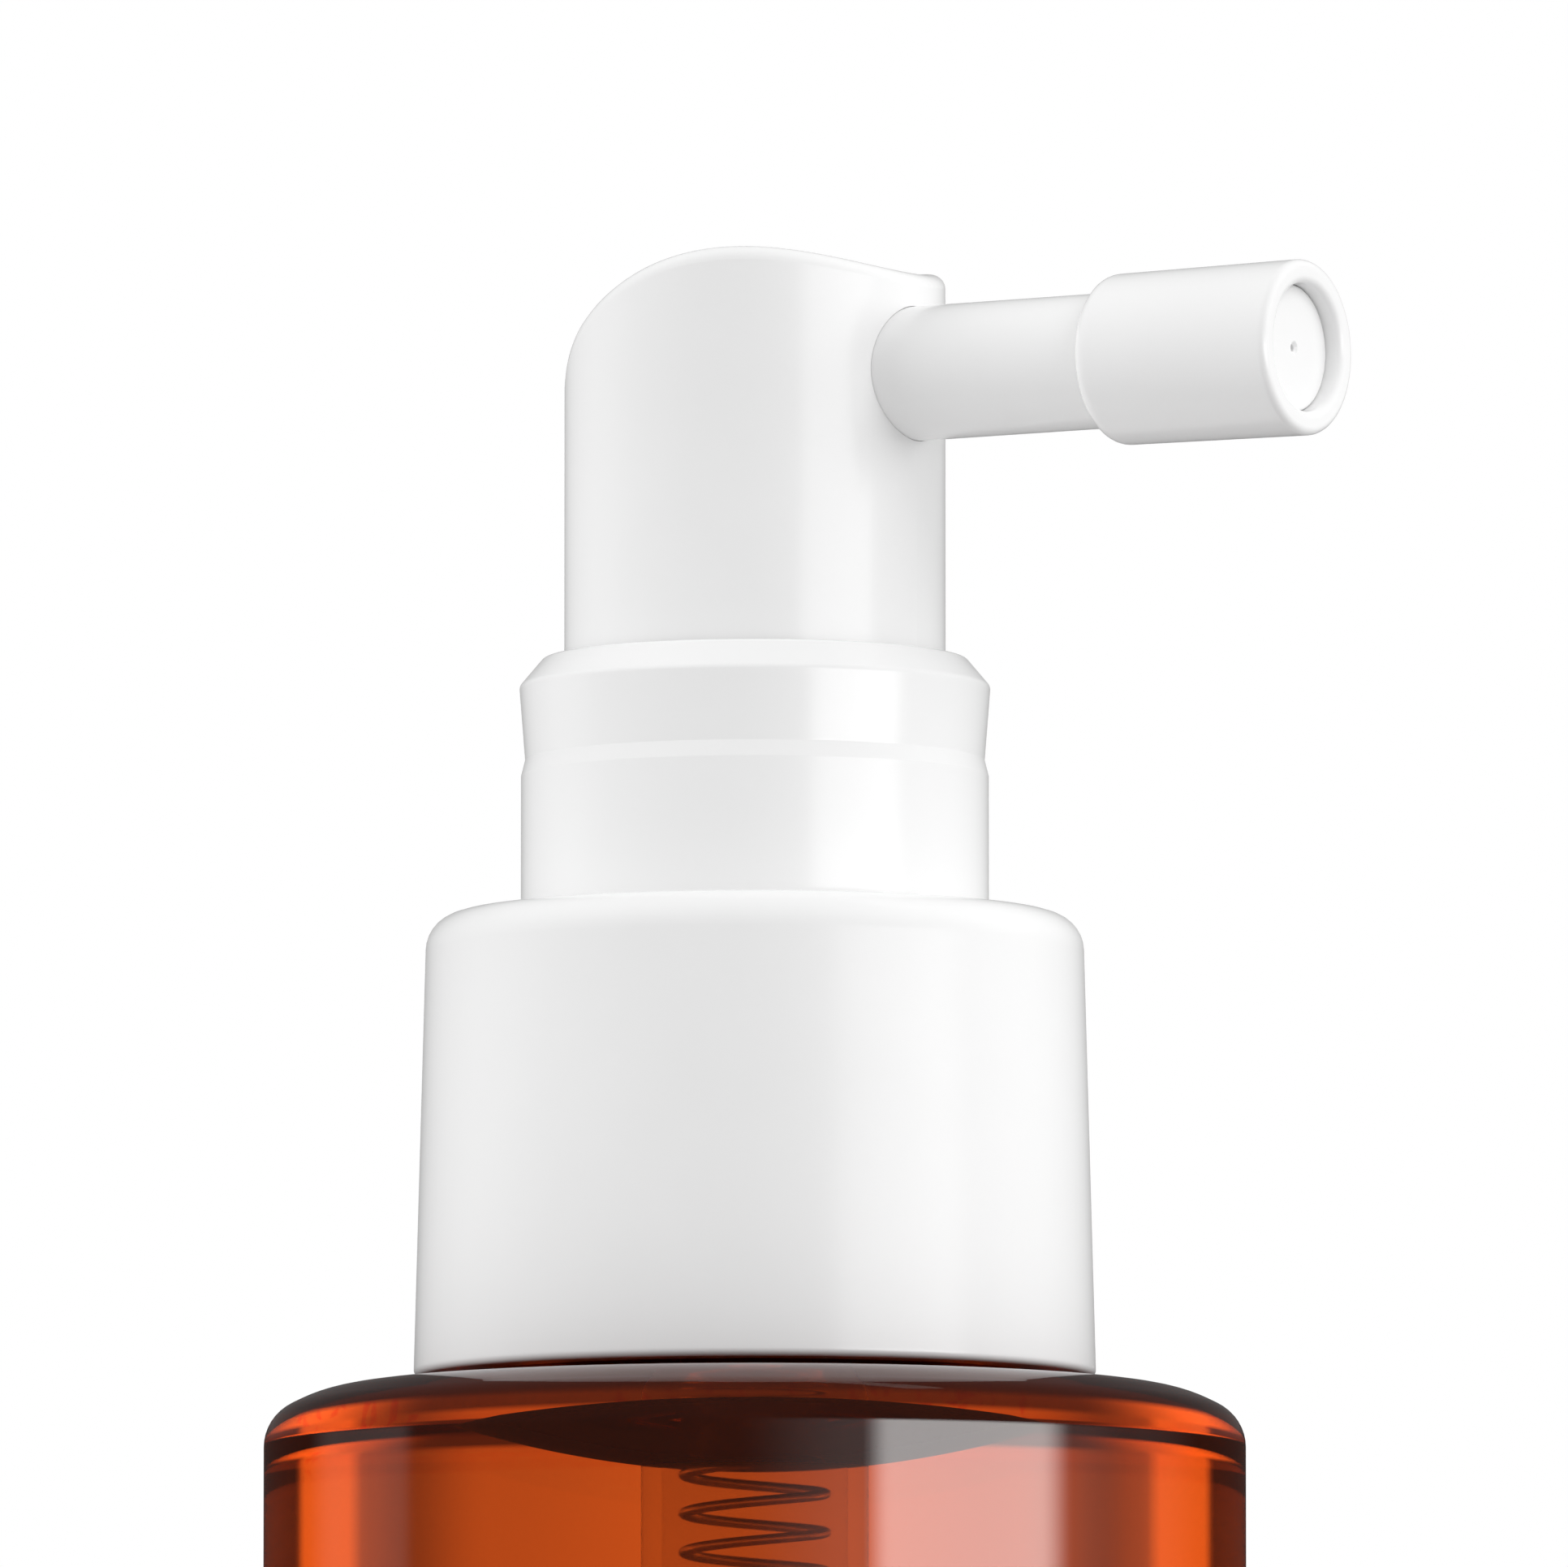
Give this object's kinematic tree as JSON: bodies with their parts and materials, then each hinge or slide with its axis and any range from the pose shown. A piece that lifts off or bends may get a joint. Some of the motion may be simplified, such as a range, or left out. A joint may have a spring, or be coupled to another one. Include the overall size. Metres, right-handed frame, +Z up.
{
  "type": "pump oil bottle",
  "caption": "Round amber bottle with a white screw-on finger pump whose long sideways nozzle sprays oil from the tip.",
  "frame": {"origin": "middle of the bottle's foot ring, on the surface that it stands on", "axes": "+Z up along the bottle's axis, +X along the nozzle at rest"},
  "size_m": [0.0468, 0.0404, 0.152],
  "materials": {
    "amber_glass": "clear polished amber glass",
    "white_plastic": "smooth glossy moulded polypropylene",
    "natural_plastic": "undyed half-clear polypropylene",
    "soft_seal": "soft smooth sealing material",
    "spring_steel": "drawn stainless spring wire",
    "ball_steel": "polished stainless ball"
  },
  "bodies": {
    "bottle": {"bottle": "amber_glass"},
    "pump_core": {"pump_housing": "natural_plastic", "neck_gasket": "soft_seal", "stem_gasket": "soft_seal", "turret": "white_plastic", "dip_tube": "natural_plastic", "return_spring": "spring_steel"},
    "collar": {"screw_collar": "white_plastic"},
    "stem": {"stem": "natural_plastic", "valve_poppet": "natural_plastic"},
    "piston": {"piston": "soft_seal"},
    "head": {"actuator": "white_plastic", "nozzle_tube": "white_plastic", "nozzle_sleeve": "white_plastic", "swirl_insert": "white_plastic"},
    "ball": {"inlet_ball": "ball_steel"}
  },
  "joints": [
    {"name": "pump_lift", "type": "slide", "parent": "bottle", "child": "pump_core", "axis": [0, 0, 1], "range_m": [0, 0.00476]},
    {"name": "collar_turn", "type": "hinge", "parent": "pump_core", "child": "collar", "pos_m": [0, 0, 0.115], "axis": [0, 0, 1], "range_deg": [0, 540]},
    {"name": "pump_stroke", "type": "slide", "parent": "pump_core", "child": "stem", "axis": [0, 0, -1], "range_m": [0, 0.0055], "stiffness_N_per_m": 900, "springref_m": -0.006, "deforming": ["return_spring"]},
    {"name": "piston_slip", "type": "slide", "parent": "stem", "child": "piston", "axis": [0, 0, 1], "range_m": [0, 0.0006]},
    {"name": "head_swivel", "type": "hinge", "parent": "stem", "child": "head", "pos_m": [0, 0, 0.137], "axis": [0, 0, 1], "continuous": true},
    {"name": "ball_lift", "type": "slide", "parent": "pump_core", "child": "ball", "axis": [0, 0, 1], "range_m": [0, 0.0007]}
  ],
  "couplings": [
    {"joint": "pump_lift", "follows": "collar_turn", "m_per_rad": 0.00050531}
  ]
}
